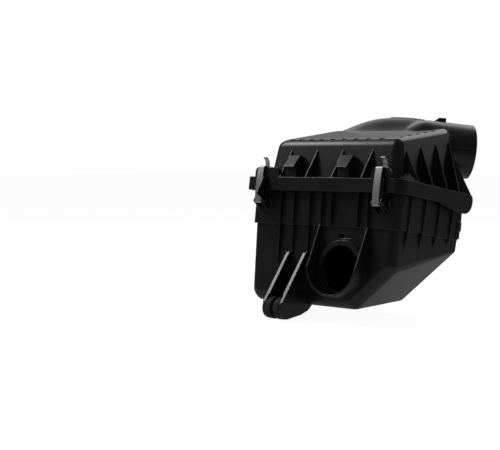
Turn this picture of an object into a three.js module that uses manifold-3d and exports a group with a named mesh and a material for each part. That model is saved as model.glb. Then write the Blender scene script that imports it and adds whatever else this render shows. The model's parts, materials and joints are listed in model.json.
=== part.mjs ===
// Air filter housing for a small car engine: a lower case with the raw-air inlet, a hinged
// upper cover with the outlet neck, a panel filter between them, two over-centre spring clips
// and the rubber-mounted brackets. Millimetres, +Z up.
//
// Everything is drawn in the frame of the parting plane: X runs along the front from left to
// right, Y runs from front to back, Z stands square on the parting plane. The whole assembly
// then leans by CASE_TILT, because the housing sits nose up and its floor is level. The origin
// of the finished part is on the floor, straight below the middle of the parting plane.
import * as THREE from 'three';
import { mergeVertices } from 'three/addons/utils/BufferGeometryUtils.js';
import Module from 'manifold-3d';

const wasm = await Module();
wasm.setup();

// ---- driving dimensions ------------------------------------------------------------------
const CASE_TILT = 8.75; // degrees between the parting plane and the level floor
const WALL = 2.5; // moulded wall
const RUN = 0.3; // clearance between neighbouring pieces
const RIB = 2; // rib and gusset thickness

// Plan rectangles name their corner radii from the front left, going anticlockwise.
const SKIRT = {
  left: -135, right: 135, front: -82, back: 82, corners: [2, 14, 4, 4],
  bottom: -14, top: 5, wall: 3.7,
};
const FLANGE = {
  left: -130.5, right: 130.5, front: -77.5, back: 76, corners: [2, 10, 8, 8],
  bottom: -7, top: -2,
};

const HINGE = { y: 72, z: -5, stud: 3.5, ear: 6, gap: 0.1 };
const LUG = { bore: 2.6, radius: 18 };

// Walls of the cover body at the shelf and under the roof.
const BODY = {
  low: { left: -119, right: 118, front: -68, back: 78, corners: [18, 18, 18, 18] },
  high: { left: -113.5, right: 107, front: -58.5, back: 62 },
  edge: 11,
};
const ROOF = { front: 61.5, at: -56, slope: 0.29 }; // the roof climbs towards the back
const HUMP = {
  left: -100, right: 106, front: 25, back: 76, base: 50, grid: [16, 10],
  crest: 112.5, peak: -4, // height and place of the ridge's highest point
  fall: { left: 0.003, right: 0.0013 }, // how quickly the ridge curves down on each side
  ramp: 36, fade: 56, endShare: 0.35, rearDrop: 8, rearRound: 16,
};
const NECK = {
  x: 104, y: 110, z: 69, heading: 41, radius: 38, bore: 35, length: 62, boreLength: 54,
};
const NECK_TAB = { back: 38, length: 18, height: 7, ramp: 8, width: 5 };

// Walls of the lower case at the top, at the shoulder and at the floor.
const CASE = { left: -128.5, right: 126, front: -72, back: 72, corners: [4, 12, 3, 6] };
const SHOULDER = { z: -60, step: 2.5 };
const FLOOR = { z: -171, y: -72, lean: 2 };
const REAR_STEP = 1.5; // the lower band stands proud of the upper one at the back
const CHAMFER = { low: [65, -72, -171], high: [130, -72, -111], rear: [41, 72, -150] };
const HEEL = { left: -122, z: -160 }; // small chamfer along the lower left edge

const INLET = { x: 38, z: -113, collar: 42.5, wall: 3, lip: -91, webTop: -57.5 };
const BORE = { x: 39.5, z: -116.5, radius: 31.5, crown: 7, proud: 1.5 }; // inside the collar
const SLOT = { left: 30, right: 50, bottom: -75, top: -70, deep: 5 }; // above the inlet
// Each rib's place along its wall and the height where it runs out.
const FRONT_RIBS = [
  [-75, -114], [-51, -104], [-22.5, -100], [-1, -60], [16.3, -60], [62, -60], [78.5, -60],
];
const SIDE_RIBS = [[-46, -100], [-14, -92], [18, -82.5], [49, -71.5]];
// Steps on the rear right corner: bottom, top and how far each stands proud.
const CORNER_PADS = [[-35, -16, 1.2], [-47, -34.5, 2], [-58, -46.5, 0.6]];
const COVER_FRONT_GUSSETS = [-77, -30, 16, 67];
const COVER_SIDE_GUSSETS = [-44, -12, 21, 50];
const POSTS = { places: [-62.6, 31.4], half: 10 };

const CLIPS = { left: -110, right: 99 };
const CLIP = {
  width: 11, sheet: 1.2, pivotY: -83.5, pivotZ: -30, pin: 1.5, pinOverhang: 2.8, tab: 7,
  bow: 2.6, bend: 2.2, hook: 5.5, roll: 1.3, tail: 13.5,
};
const CATCH = {
  top: 18.5, depth: 5.5, corner: 6, gap: 0.5, reach: { left: [-14, 31], right: [-15, 16] },
};
// A tall cheek at the right of each clip shields the strap and passes a slot in the skirt.
// Its front edge is given at the top and low down.
const CHEEK = {
  offset: 8.6, thick: 2, slot: 0.5, fronts: { left: [-89, -98.5], right: [-85.5, -86.5] },
};

const BRACKET = {
  x: -40, gap: 26, plate: 4, eyeY: -97, eyeZ: -177, radius: 14.5, spool: 15, waist: 9.5,
};
const LIP = { width: 7.2, thick: 2.6, proud: 0.6, from: [-71.5, -98.5] }; // bars on its front edges
const SLEEVE = { outer: 5, bore: 3.4 };
const REAR_MOUNTS = { left: -85, right: 85 };
const REAR = { y: 90, z: -50, plate: 5, radius: 15, hole: 8.5 };

const FILTER = { halfX: 121, halfY: 67.5, top: -2.3, depth: 40, board: 1.5, gap: 1.1 };
const PLEATS = { count: 36, paper: 0.6 };
const GLUE_LINES = { radius: 0.9, places: [-48, -16, 16, 48] };
const SEAL = { halfX: 126.4, halfY: 73.4, inset: 13, bottom: -1.7, top: 2.2 };

// ---- materials ---------------------------------------------------------------------------
const paint = (color, roughness, metalness = 0) =>
  new THREE.MeshStandardMaterial({ color, roughness, metalness });
const BLACK_PLASTIC = () => paint(0x17181a, 0.6);
const SPRING_STEEL = () => paint(0xc9cbcc, 0.28, 1);
const ZINC_STEEL = () => paint(0xa9a9a4, 0.4, 1);
const RUBBER = () => paint(0x101010, 0.85);
const PAPER = () => paint(0xd8c89a, 0.95);
const BOARD = () => paint(0x8d7b58, 0.9);
const GLUE = () => paint(0xe6dfc6, 0.5);

// ---- solids ------------------------------------------------------------------------------
const rad = THREE.MathUtils.degToRad;

function solid(geometry) {
  geometry.deleteAttribute('normal');
  geometry.deleteAttribute('uv');
  const merged = mergeVertices(geometry, 1e-4);
  return new wasm.Manifold(new wasm.Mesh({
    numProp: 3,
    vertProperties: new Float32Array(merged.attributes.position.array),
    triVerts: new Uint32Array(merged.index.array),
  }));
}

const join = (parts) => parts.reduce((sum, part) => sum.add(part));
const cut = (body, tools) => tools.reduce((left, tool) => left.subtract(tool), body);

function node(name, shape, material) {
  const { vertProperties, triVerts } = shape.getMesh();
  const geometry = new THREE.BufferGeometry();
  geometry.setAttribute('position', new THREE.BufferAttribute(vertProperties, 3));
  geometry.setIndex(new THREE.BufferAttribute(triVerts, 1));
  geometry.computeVertexNormals();
  const mesh = new THREE.Mesh(geometry, material);
  mesh.name = name;
  return mesh;
}

const outline = (points) => new THREE.Shape(points.map(([u, v]) => new THREE.Vector2(u, v)));
const asShape = (form) => (form instanceof THREE.Shape ? form : outline(form));

function extrude(form, depth, curveSegments = 5) {
  return new THREE.ExtrudeGeometry(asShape(form), { depth, bevelEnabled: false, curveSegments });
}

// Prisms along each axis. The outline is given as (y, z), (x, z) or (x, y).
function prismX(form, x0, x1, segments) {
  const geometry = extrude(form, x1 - x0, segments);
  const turn = new THREE.Matrix4().makeBasis(
    new THREE.Vector3(0, 1, 0), new THREE.Vector3(0, 0, 1), new THREE.Vector3(1, 0, 0));
  return solid(geometry.applyMatrix4(turn).translate(x0, 0, 0));
}

function prismY(form, y0, y1, segments) {
  const geometry = extrude(form, y1 - y0, segments);
  return solid(geometry.rotateX(rad(90)).translate(0, y1, 0));
}

function prismZ(form, z0, z1, segments) {
  return solid(extrude(form, z1 - z0, segments).translate(0, 0, z0));
}

function box(x0, x1, y0, y1, z0, z1) {
  const geometry = new THREE.BoxGeometry(x1 - x0, y1 - y0, z1 - z0);
  return solid(geometry.translate((x0 + x1) / 2, (y0 + y1) / 2, (z0 + z1) / 2));
}

// A round bar along X, Y or Z from one end to the other.
function bar(axis, radius, from, to, [u, v], sides = 32) {
  const geometry = new THREE.CylinderGeometry(radius, radius, to - from, sides);
  const middle = (from + to) / 2;
  if (axis === 'x') geometry.rotateZ(rad(90)).translate(middle, u, v);
  if (axis === 'y') geometry.translate(u, middle, v);
  if (axis === 'z') geometry.rotateX(rad(90)).translate(u, v, middle);
  return solid(geometry);
}

// A rectangle in plan with a radius at each corner.
function plan({ left, right, front, back, corners }) {
  const [a, b, c, d] = corners;
  const shape = new THREE.Shape();
  shape.moveTo(left + a, front);
  shape.absarc(right - b, front + b, b, rad(-90), 0);
  shape.absarc(right - c, back - c, c, 0, rad(90));
  shape.absarc(left + d, back - d, d, rad(90), rad(180));
  shape.absarc(left + a, front + a, a, rad(180), rad(270));
  return shape;
}

const shrink = ({ left, right, front, back, corners = [] }, by) => ({
  left: left + by,
  right: right - by,
  front: front + by,
  back: back - by,
  corners: corners.map((radius) => Math.max(radius - by, 1)),
});

// Moves every vertex of a geometry by a function of its place.
function warp(geometry, move) {
  const { position } = geometry.attributes;
  const point = new THREE.Vector3();
  for (let i = 0; i < position.count; i += 1) {
    move(point.fromBufferAttribute(position, i));
    position.setXYZ(i, point.x, point.y, point.z);
  }
  return geometry;
}

// A block whose four walls lean evenly from the rectangle at z0 to the one at z1.
function leaningBlock(low, high, z0, z1, roundTop = 0) {
  const options = { depth: z1 - z0, bevelEnabled: false, curveSegments: 5 };
  if (roundTop > 0) {
    options.depth = z1 - z0 - 2 * roundTop;
    options.bevelEnabled = true;
    options.bevelThickness = roundTop;
    options.bevelSize = roundTop;
    options.bevelOffset = -roundTop;
    options.bevelSegments = 4;
  }
  const geometry = new THREE.ExtrudeGeometry(plan(low), options).translate(0, 0, z0 + roundTop);
  const slide = (value, a0, a1, b0, b1, t) => {
    const share = (value - a0) / (a1 - a0);
    return THREE.MathUtils.lerp(value, THREE.MathUtils.lerp(b0, b1, share), t);
  };
  return warp(geometry, (p) => {
    const t = (p.z - z0) / (z1 - z0);
    p.x = slide(p.x, low.left, low.right, high.left, high.right, t);
    p.y = slide(p.y, low.front, low.back, high.front, high.back, t);
  });
}

// A triangular or tapered plate standing across X or across Y.
const plateX = (x, form, thick = RIB) => prismX(form, x - thick / 2, x + thick / 2);
const plateY = (y, form, thick = RIB) => prismY(form, y - thick / 2, y + thick / 2);

const roof = (y) => ROOF.front + ROOF.slope * (y - ROOF.at);

// ---- lower case --------------------------------------------------------------------------
// Lower edge of the cover's side skirt, which deepens towards the hinge.
const SKIRT_EDGE = [[1, -14], [36, -20.6], [51, -23.5]];
function skirtEdge(y) {
  if (y <= SKIRT_EDGE[0][0]) return SKIRT.bottom;
  const slope = (SKIRT_EDGE[1][1] - SKIRT_EDGE[0][1]) / (SKIRT_EDGE[1][0] - SKIRT_EDGE[0][0]);
  return SKIRT_EDGE[0][1] + slope * (y - SKIRT_EDGE[0][0]);
}

const FLOOR_NORMAL = new THREE.Vector3(0, -Math.sin(rad(CASE_TILT)), Math.cos(rad(CASE_TILT)));
const HEEL_NORMAL = new THREE.Vector3(1, 0, 1).normalize();
const CHAMFER_NORMAL = (() => {
  const low = new THREE.Vector3(...CHAMFER.low);
  const along = new THREE.Vector3(...CHAMFER.high).sub(low);
  const back = new THREE.Vector3(...CHAMFER.rear).sub(low);
  return along.cross(back).normalize();
})();

// Cuts a body off at the level floor and at the big chamfer on its lower right side.
function trimCase(body, inset) {
  const floorPoint = new THREE.Vector3(0, FLOOR.y, FLOOR.z);
  const chamferPoint = new THREE.Vector3(...CHAMFER.low);
  const heelPoint = new THREE.Vector3(HEEL.left, 0, HEEL.z);
  return body
    .trimByPlane(HEEL_NORMAL.toArray(), HEEL_NORMAL.dot(heelPoint) + inset)
    .trimByPlane(FLOOR_NORMAL.toArray(), FLOOR_NORMAL.dot(floorPoint) + inset)
    .trimByPlane(CHAMFER_NORMAL.toArray(), CHAMFER_NORMAL.dot(chamferPoint) + inset);
}

// The drafted tub: a wide upper band, a shoulder, and a narrower lower band.
function tub(inset) {
  const rim = shrink(CASE, inset);
  const band = shrink(rim, 1);
  const lower = { ...shrink(band, SHOULDER.step), back: rim.back + REAR_STEP };
  const floor = shrink(lower, FLOOR.lean);
  const depth = FLOOR.z - 2;
  const shoulder = SHOULDER.z + (inset > 0 ? inset : 0);
  const upper = solid(leaningBlock(band, rim, shoulder, FLANGE.top));
  const bottom = solid(leaningBlock(floor, lower, depth, shoulder + 0.5));
  return trimCase(upper.add(bottom), inset);
}

// Each rib stands full height below the flange and then tapers into the wall.
function frontRibs() {
  const { front } = CASE;
  const proud = FLANGE.front + 0.5;
  const lowerWall = front + 1 + SHOULDER.step;
  return FRONT_RIBS.map(([x, foot]) => plateX(x, [
    [front + 3, FLANGE.top - 1], [proud, SKIRT.bottom], [proud, SKIRT.bottom - 16],
    [front - 1.5, Math.max(foot, SHOULDER.z + 1)], [lowerWall - 0.8, foot], [lowerWall + 2, foot],
  ]));
}

function sideRibs() {
  const root = CASE.right - 4.6;
  return SIDE_RIBS.map(([y, foot]) => plateY(y, [
    [root, SKIRT.bottom], [FLANGE.right - 1.5, SKIRT.bottom],
    [FLANGE.right - 1.5, skirtEdge(y) - 1], [CASE.right + 0.6, SHOULDER.z], [root - 1, foot],
  ]));
}

function cornerPads() {
  return CORNER_PADS.map(([bottom, top, proud]) => {
    const right = CASE.right + proud / 2;
    const back = CASE.back + proud;
    return box(right - 14, right, back - 9, back, bottom, top);
  });
}

function inletCollar() {
  const { x, z, collar, wall, lip, webTop } = INLET;
  const ring = new THREE.Shape();
  ring.moveTo(x - collar, webTop);
  ring.absarc(x, z, collar, rad(180), rad(360));
  ring.lineTo(x + collar, webTop);
  ring.lineTo(x + collar - wall, webTop);
  ring.absarc(x, z, collar - wall, 0, rad(-180), true);
  ring.lineTo(x - collar + wall, webTop);
  const trough = prismY(ring, lip - 1, CASE.front + 6, 14);
  const side = [
    [CASE.front + 6, webTop], [CASE.front, webTop], [-85, -101.5], [lip, -118], [lip, -160],
    [CASE.front + 6, -165],
  ];
  const crown = new THREE.Shape();
  crown.absarc(BORE.x, BORE.z, BORE.radius + BORE.crown, 0, rad(180));
  crown.absarc(BORE.x, BORE.z, BORE.radius, rad(180), 0, true);
  const crownRing = prismY(crown, CASE.front - BORE.proud, CASE.front + 6, 14);
  return trough.intersect(prismX(side, x - 60, x + 60)).add(crownRing);
}

// The two bracket plates at the lower left, with round eyes for the rubber spool.
function bracketPlate(x) {
  const { eyeY, eyeZ, radius, plate } = BRACKET;
  const shape = new THREE.Shape();
  shape.moveTo(CASE.front + 6, -96);
  shape.lineTo(CASE.front + 1, -99);
  shape.absarc(eyeY, eyeZ, radius, rad(155), rad(285));
  shape.lineTo(-68, -183.5);
  shape.lineTo(-54, -176.5);
  shape.lineTo(-42, -163);
  shape.lineTo(CASE.front + 6, -160);
  return prismX(shape, x - plate / 2, x + plate / 2, 12);
}

// A flat bar along a plate's sloping front edge.
function bracketLip(x) {
  const { eyeY, eyeZ, radius } = BRACKET;
  const start = new THREE.Vector2(...LIP.from);
  const end = new THREE.Vector2(radius, 0).rotateAround(new THREE.Vector2(), rad(155));
  end.add(new THREE.Vector2(eyeY, eyeZ));
  const along = end.clone().sub(start).normalize();
  const out = new THREE.Vector2(along.y, -along.x);
  const corner = (from, proud) => from.clone().addScaledVector(out, proud).toArray();
  const depth = LIP.proud - LIP.thick;
  return plateX(x, [corner(start, LIP.proud), corner(end, LIP.proud), corner(end, depth),
    corner(start, depth)], LIP.width);
}

function frontBracket() {
  const offset = (BRACKET.gap + BRACKET.plate) / 2;
  const places = [BRACKET.x - offset, BRACKET.x + offset];
  return join([...places.map(bracketPlate), ...places.map(bracketLip)]);
}

// The socket at the right is blind; the left plate is drilled through for the bolt.
function bracketBores() {
  const reach = BRACKET.gap / 2;
  const bore = bar('x', SLEEVE.outer + HINGE.gap, BRACKET.x - reach - 10,
    BRACKET.x + reach + 2.2, [BRACKET.eyeY, BRACKET.eyeZ], 24);
  const seat = bar('x', BRACKET.spool + 1.5, BRACKET.x - reach, BRACKET.x + reach,
    [BRACKET.eyeY, BRACKET.eyeZ], 32);
  return [bore, seat];
}

function rearEar(x) {
  const { y, z, plate, radius } = REAR;
  const shape = new THREE.Shape();
  shape.moveTo(x - radius - 6, CASE.back - 5);
  shape.lineTo(x + radius + 6, CASE.back - 5);
  shape.absarc(x, y, radius, 0, rad(180));
  const gusset = [[CASE.back - 5, z - plate - 30], [CASE.back - 5, z - 1], [y + 6, z - 1],
    [y + 6, z - plate - 3]];
  return join([prismZ(shape, z - plate, z, 12),
    plateX(x - radius + 1, gusset), plateX(x + radius - 1, gusset)]);
}

const rearHole = (x) => bar('z', REAR.hole, REAR.z - 20, REAR.z + 10, [x, REAR.y], 28);

// Cheeks that carry each clip's pivot pin, running down into sloping gussets.
function clipSeat([side, x]) {
  const outer = CLIP.width / 2 + 0.6;
  const cheek = [[CASE.front + 4, -17], [CLIP.pivotY - 0.5, -24], [CLIP.pivotY - 2.5, -27],
    [CLIP.pivotY - 2.5, -32], [CASE.front + 4, -43]];
  const offsets = [-outer - RIB / 2, outer + RIB / 2];
  const cheeks = offsets.map((dx) => plateX(x + dx, cheek));
  const brace = plateX(x + outer + 9, [[CASE.front + 4, -15], [CASE.front - 6, -22],
    [CASE.front - 6, -26], [CASE.front + 4, -43]]);
  const [high, low] = CHEEK.fronts[side];
  const top = SKIRT.top - 0.5;
  const behindSkirt = FLANGE.front - 1.5;
  const shield = plateX(x + CHEEK.offset, [[behindSkirt, FLANGE.bottom], [behindSkirt, top],
    [high, top], [low, -20], [low + 1, -22.5], [CLIP.pivotY - 4, -26], [CASE.front + 4, -38.5],
    [CASE.front + 4, FLANGE.bottom]], CHEEK.thick);
  return join([...cheeks, brace, shield]);
}

// The slot in the cover's skirt that lets the tall cheek through.
function cheekSlot(x) {
  const half = CHEEK.thick / 2 + CHEEK.slot;
  const middle = x + CHEEK.offset;
  return box(middle - half, middle + half, -100, FLANGE.front - 0.7, -30, SKIRT.top + 1);
}

const pinBore = (x) => bar('x', CLIP.pin + HINGE.gap, x - 12, x + 12,
  [CLIP.pivotY, CLIP.pivotZ], 24);

function hingeEar(side) {
  const reach = SKIRT.right - SKIRT.wall + LUG.bore;
  const ends = side > 0 ? [127, FLANGE.right] : [FLANGE.left, -127];
  const stud = side > 0 ? [129, reach - RUN] : [-reach + RUN, -129];
  return join([bar('x', HINGE.ear, ...ends, [HINGE.y, HINGE.z]),
    bar('x', HINGE.stud, ...stud, [HINGE.y, HINGE.z], 40)]);
}

function lowerCase() {
  const outside = join([
    tub(0), prismZ(plan(FLANGE), FLANGE.bottom, FLANGE.top), inletCollar(), frontBracket(),
    ...frontRibs(), ...sideRibs(), ...cornerPads(),
    ...Object.values(REAR_MOUNTS).map(rearEar), ...Object.entries(CLIPS).map(clipSeat),
    hingeEar(-1), hingeEar(1),
  ]);
  const mouth = prismZ(plan(shrink(CASE, WALL)), FLANGE.bottom - 3, FLANGE.top + 1);
  const slot = box(SLOT.left, SLOT.right, CASE.front - 5, CASE.front + SLOT.deep, SLOT.bottom,
    SLOT.top);
  return cut(outside, [
    tub(WALL), mouth, slot, bar('y', BORE.radius, -100, -60, [BORE.x, BORE.z], 48),
    ...bracketBores(), ...Object.values(REAR_MOUNTS).map(rearHole),
    ...Object.values(CLIPS).map(pinBore),
  ]);
}

// ---- upper cover -------------------------------------------------------------------------
// A round bar on the neck's axis, between two distances back from the neck's end face.
function neckBar(radius, from, to) {
  const geometry = new THREE.CylinderGeometry(radius, radius, to - from, 48);
  geometry.translate(0, -(from + to) / 2, 0).rotateZ(rad(-NECK.heading));
  return solid(geometry.translate(NECK.x, NECK.y, NECK.z));
}

// The plenum over the back of the roof: a grid whose height follows a formula.
function hump(inset) {
  const { left, right, front, back, base, grid, crest, peak, fall } = HUMP;
  const { ramp, fade, endShare, rearDrop, rearRound } = HUMP;
  const smooth = THREE.MathUtils.smoothstep;
  const foot = roof(front) - 3;
  const geometry = new THREE.BoxGeometry(
    right - left - 2 * inset, back - front - 2 * inset, 1, ...grid, 1);
  geometry.translate((left + right) / 2, (front + back) / 2, 0.5);
  return solid(warp(geometry, (p) => {
    const ridge = crest - (p.x < peak ? fall.left : fall.right) * (p.x - peak) ** 2;
    const alongX = endShare + (1 - endShare) * smooth(p.x, left - 4, left + 14);
    const share = smooth(p.y, front - 2, front + ramp) * alongX * (1 - smooth(p.x, fade, right));
    const rear = rearDrop * smooth(p.y, back - rearRound, back + 2);
    p.z = p.z > 0.5 ? foot + (ridge - foot) * share - inset - rear : base;
  }));
}

function coverBody(inset) {
  const low = shrink(BODY.low, inset);
  const high = shrink(BODY.high, inset);
  const base = SKIRT.top - 2 * BODY.edge;
  const level = roof(BODY.high.back);
  const geometry = leaningBlock(low, high, base, level, BODY.edge - inset * 0.8);
  return solid(warp(geometry, (p) => {
    const share = (p.z - base) / (level - base);
    p.z = base + share * (roof(p.y) - inset - base);
  }));
}

function lug(side) {
  const shape = new THREE.Shape();
  shape.moveTo(SKIRT_EDGE[0][0], SKIRT_EDGE[0][1]);
  shape.lineTo(SKIRT_EDGE[1][0], SKIRT_EDGE[1][1]);
  shape.lineTo(SKIRT_EDGE[2][0], SKIRT_EDGE[2][1]);
  shape.absarc(66, -5, LUG.radius, rad(-80), rad(25));
  shape.lineTo(78, SKIRT.top);
  shape.lineTo(SKIRT_EDGE[0][0], SKIRT.top);
  const [x0, x1] = side > 0 ? [SKIRT.right - SKIRT.wall, SKIRT.right] :
    [SKIRT.left, SKIRT.left + SKIRT.wall];
  return prismX(shape, x0, x1, 8);
}

function lugBore(side) {
  const inner = SKIRT.right - SKIRT.wall;
  const ends = side > 0 ? [inner - 1, inner + LUG.bore] : [-inner - LUG.bore, -inner + 1];
  return bar('x', HINGE.stud + HINGE.gap, ...ends, [HINGE.y, HINGE.z], 40);
}

function clipCatch([side, x]) {
  const { reach, top, corner, depth } = CATCH;
  const [start, end] = reach[side];
  const shape = new THREE.Shape();
  shape.moveTo(x + start, SKIRT.top - 2);
  shape.lineTo(x + end, SKIRT.top - 2);
  shape.absarc(x + end - corner, top - corner, corner, 0, rad(90));
  shape.absarc(x + start + corner, top - corner, corner, rad(90), rad(180));
  return prismY(shape, SKIRT.front, SKIRT.front + depth);
}

// A hook post: a block set back on the shelf under a sloping, overhanging nose.
function post(x) {
  const foot = SKIRT.top - 2;
  return prismX([[-76, foot], [-60, foot], [-60, 35.5], [-69.5, 37.3], [SKIRT.front, 19.5],
    [-81, 18], [-76, 20]], x - POSTS.half, x + POSTS.half);
}

function frontGusset(x) {
  return plateX(x, [[SKIRT.front + 1, SKIRT.top - 1], [-60, SKIRT.top - 1], [-58, 46],
    [-61, 46], [SKIRT.front + 1, SKIRT.top + 1]]);
}

function sideGusset(y) {
  const top = 46.5 + ROOF.slope * (y - COVER_SIDE_GUSSETS[0]);
  return plateY(y, [[SKIRT.right - 1, SKIRT.top - 1], [SKIRT.right - 1, SKIRT.top + 1],
    [110, top], [105, top], [105, SKIRT.top - 1]]);
}

// The last gusset runs diagonally from the body's rear right corner to the skirt's corner.
function cornerGusset() {
  const start = new THREE.Vector2(95, 54);
  const run = new THREE.Vector2(SKIRT.right - 2, SKIRT.back - 2).sub(start);
  const length = run.length();
  const plate = plateY(0, [[0, SKIRT.top - 1], [length, SKIRT.top - 1],
    [length, SKIRT.top + 1], [8, 72], [0, 72]]);
  return plate.rotate([0, 0, THREE.MathUtils.radToDeg(run.angle())])
    .translate([start.x, start.y, 0]);
}

// A small stack of three ledges on the shelf beside the first side gusset.
function shelfBlock() {
  const steps = [[-69, -45, 7.6], [-66.5, -49, 10.4], [-63.5, -55, 13.2]];
  return join(steps.map(([front, back, top], i) =>
    box(122.5 + 0.6 * i, 131 - 0.9 * i, front, back, SKIRT.top - 1, top)));
}

function neckTab() {
  const { back, length, height, ramp, width } = NECK_TAB;
  const crown = NECK.radius - 1;
  const geometry = extrude([[-back - length, crown], [-back, crown], [-back, crown + height],
    [-back - length + ramp, crown + height - 0.5]], width);
  geometry.translate(0, 0, -width / 2).rotateX(rad(90));
  geometry.rotateZ(rad(90 - NECK.heading)).translate(NECK.x, NECK.y, NECK.z);
  return solid(geometry);
}

function upperCover() {
  const hood = { ...shrink(SKIRT, SKIRT.wall), corners: [1, 10.3, 1, 1] };
  const rear = FLANGE.back + 1;
  const body = join([coverBody(0), hump(0)]).trimByPlane([0, 0, 1], SKIRT.top - WALL);
  const outside = join([
    prismZ(plan(SKIRT), SKIRT.bottom, SKIRT.top), body, neckBar(NECK.radius, 0, NECK.length),
    neckTab(), shelfBlock(), cornerGusset(), ...Object.entries(CLIPS).map(clipCatch),
    ...POSTS.places.map(post), ...COVER_FRONT_GUSSETS.map(frontGusset),
    ...COVER_SIDE_GUSSETS.map(sideGusset),
  ]);
  const seat = prismZ(plan(hood), SKIRT.bottom - 5, SKIRT.top - WALL);
  const openBack = box(hood.left, hood.right, rear, 95, -30, 1);
  const shell = cut(outside, [seat, openBack, coverBody(WALL), hump(WALL),
    neckBar(NECK.bore, -1, NECK.boreLength), ...Object.values(CLIPS).map(cheekSlot)]);
  return cut(shell.add(lug(-1)).add(lug(1)), [lugBore(-1), lugBore(1)]);
}

// ---- filter ------------------------------------------------------------------------------
function ringZ(halfX, halfY, inset, z0, z1, corner) {
  const outer = {
    left: -halfX, right: halfX, front: -halfY, back: halfY, corners: Array(4).fill(corner),
  };
  const inner = prismZ(plan(shrink(outer, inset)), z0 - 1, z1 + 1, 3);
  return prismZ(plan(outer), z0, z1, 3).subtract(inner);
}

const filterSeal = () =>
  ringZ(SEAL.halfX, SEAL.halfY, SEAL.inset, SEAL.bottom, SEAL.top, 8);
const filterFrame = () => ringZ(FILTER.halfX, FILTER.halfY, FILTER.board,
  FILTER.top - FILTER.depth, FILTER.top, 4);

// The paper folds up and down along X and runs straight through along Y.
function filterMedia() {
  const half = FILTER.halfX - FILTER.board - FILTER.gap;
  const pitch = (2 * half) / PLEATS.count;
  const low = FILTER.top - FILTER.depth + 1;
  const high = FILTER.top - 2.5;
  // Steep legs turn a small paper thickness into a long step at each fold.
  const step = PLEATS.paper * (high - low) / (pitch / 2);
  const fold = (foot, head) => Array.from({ length: 2 * PLEATS.count + 1 }, (_, i) => [
    -half + (i * pitch) / 2, i % 2 === 0 ? foot : head]);
  const paper = [...fold(low, high - step), ...fold(low + step, high).reverse()];
  const halfY = FILTER.halfY - FILTER.board - FILTER.gap;
  return prismY(paper, -halfY, halfY);
}

// A line of hot glue across the fold tips, which keeps the pleats evenly spaced.
function glueBead() {
  const half = FILTER.halfX - FILTER.board - 4;
  return bar('x', GLUE_LINES.radius, -half, half, [0, FILTER.top - 1.2], 8);
}

// ---- clips -------------------------------------------------------------------------------
// The strip is drawn as a centre line in (y, z) about its pivot pin, then given its thickness.
function ribbon(points, thickness) {
  const side = (sign) => points.map((point, i) => {
    const before = points[Math.max(i - 1, 0)];
    const after = points[Math.min(i + 1, points.length - 1)];
    const along = after.clone().sub(before).normalize();
    return [point.x - sign * along.y * thickness / 2, point.y + sign * along.x * thickness / 2];
  });
  return [...side(1), ...side(-1).reverse()];
}

// The strip wraps its pin, climbs the front, crosses the catch, hooks down behind it and
// turns up again into a narrow finger tab.
function springClip() {
  const { sheet, bend, hook, roll, width, tab } = CLIP;
  const curl = CLIP.pin + HINGE.gap + sheet / 2;
  const crest = CATCH.top - CLIP.pivotZ + CATCH.gap + sheet / 2;
  const front = -1.6;
  const back = SKIRT.front + CATCH.depth - CLIP.pivotY + CATCH.gap + sheet / 2;
  const line = new THREE.Path();
  line.absarc(0, 0, curl, rad(60), rad(-180), true);
  line.quadraticCurveTo(-curl - CLIP.bow, crest / 2, front, crest - bend);
  line.absarc(front + bend, crest - bend, bend, rad(180), rad(90), true);
  line.absarc(back - bend, crest - bend, bend, rad(90), 0, true);
  line.lineTo(back, crest - hook);
  line.absarc(back + roll, crest - hook, roll, rad(180), rad(360));
  line.lineTo(back + 2 * roll, crest + 3);
  line.quadraticCurveTo(back + 2, crest + 10, back - 5, crest + CLIP.tail);
  const strip = prismX(ribbon(line.getPoints(5), sheet), -width / 2, width / 2);
  const tabFoot = crest + 1.4;
  const beside = [[-width, -tab / 2], [tab / 2, width]];
  const trims = beside.map(([x0, x1]) => box(x0, x1, -10, 20, tabFoot, tabFoot + 30));
  return cut(strip, trims);
}

function clipPin() {
  const half = CLIP.width / 2 + CLIP.pinOverhang;
  return bar('x', CLIP.pin, -half, half, [0, 0], 24);
}

// ---- mounts ------------------------------------------------------------------------------
function turned(profile) {
  return new THREE.LatheGeometry(profile.map(([r, h]) => new THREE.Vector2(r, h)), 20);
}

// A rubber spool whose waist sits in the plate of its bracket. It is turned about Y.
function spool(bore, flange, waist, length, groove) {
  const half = length / 2;
  const neck = groove / 2;
  return turned([[bore, -half], [flange - 1, -half], [flange, -half + 1], [flange, -neck - 1],
    [waist, -neck], [waist, neck], [flange, neck + 1], [flange, half - 1], [flange - 1, half],
    [bore, half], [bore, -half]]);
}

const tubeSleeve = (outer, bore, length) => turned([[bore, -length / 2], [outer, -length / 2],
  [outer, length / 2], [bore, length / 2], [bore, -length / 2]]);

function frontGrommet() {
  const { spool: flange, waist, gap } = BRACKET;
  const length = gap - 2 * RUN;
  return solid(spool(SLEEVE.outer + HINGE.gap, flange, waist, length, 5).rotateZ(rad(90)));
}

// It stands proud of the left plate and ends inside the right plate's blind socket.
const FRONT_SLEEVE = {
  left: BRACKET.x - BRACKET.gap / 2 - BRACKET.plate - 0.5,
  right: BRACKET.x + BRACKET.gap / 2 + 2,
};

function frontSleeve() {
  const length = FRONT_SLEEVE.right - FRONT_SLEEVE.left;
  return solid(tubeSleeve(SLEEVE.outer, SLEEVE.bore, length).rotateZ(rad(90)));
}

function rearGrommet() {
  const waist = REAR.hole - RUN;
  return solid(spool(SLEEVE.outer + HINGE.gap, 12.5, waist, 17, REAR.plate + 1).rotateX(rad(90)));
}

const rearSleeve = () => solid(tubeSleeve(SLEEVE.outer, SLEEVE.bore, 18).rotateX(rad(90)));

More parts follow.
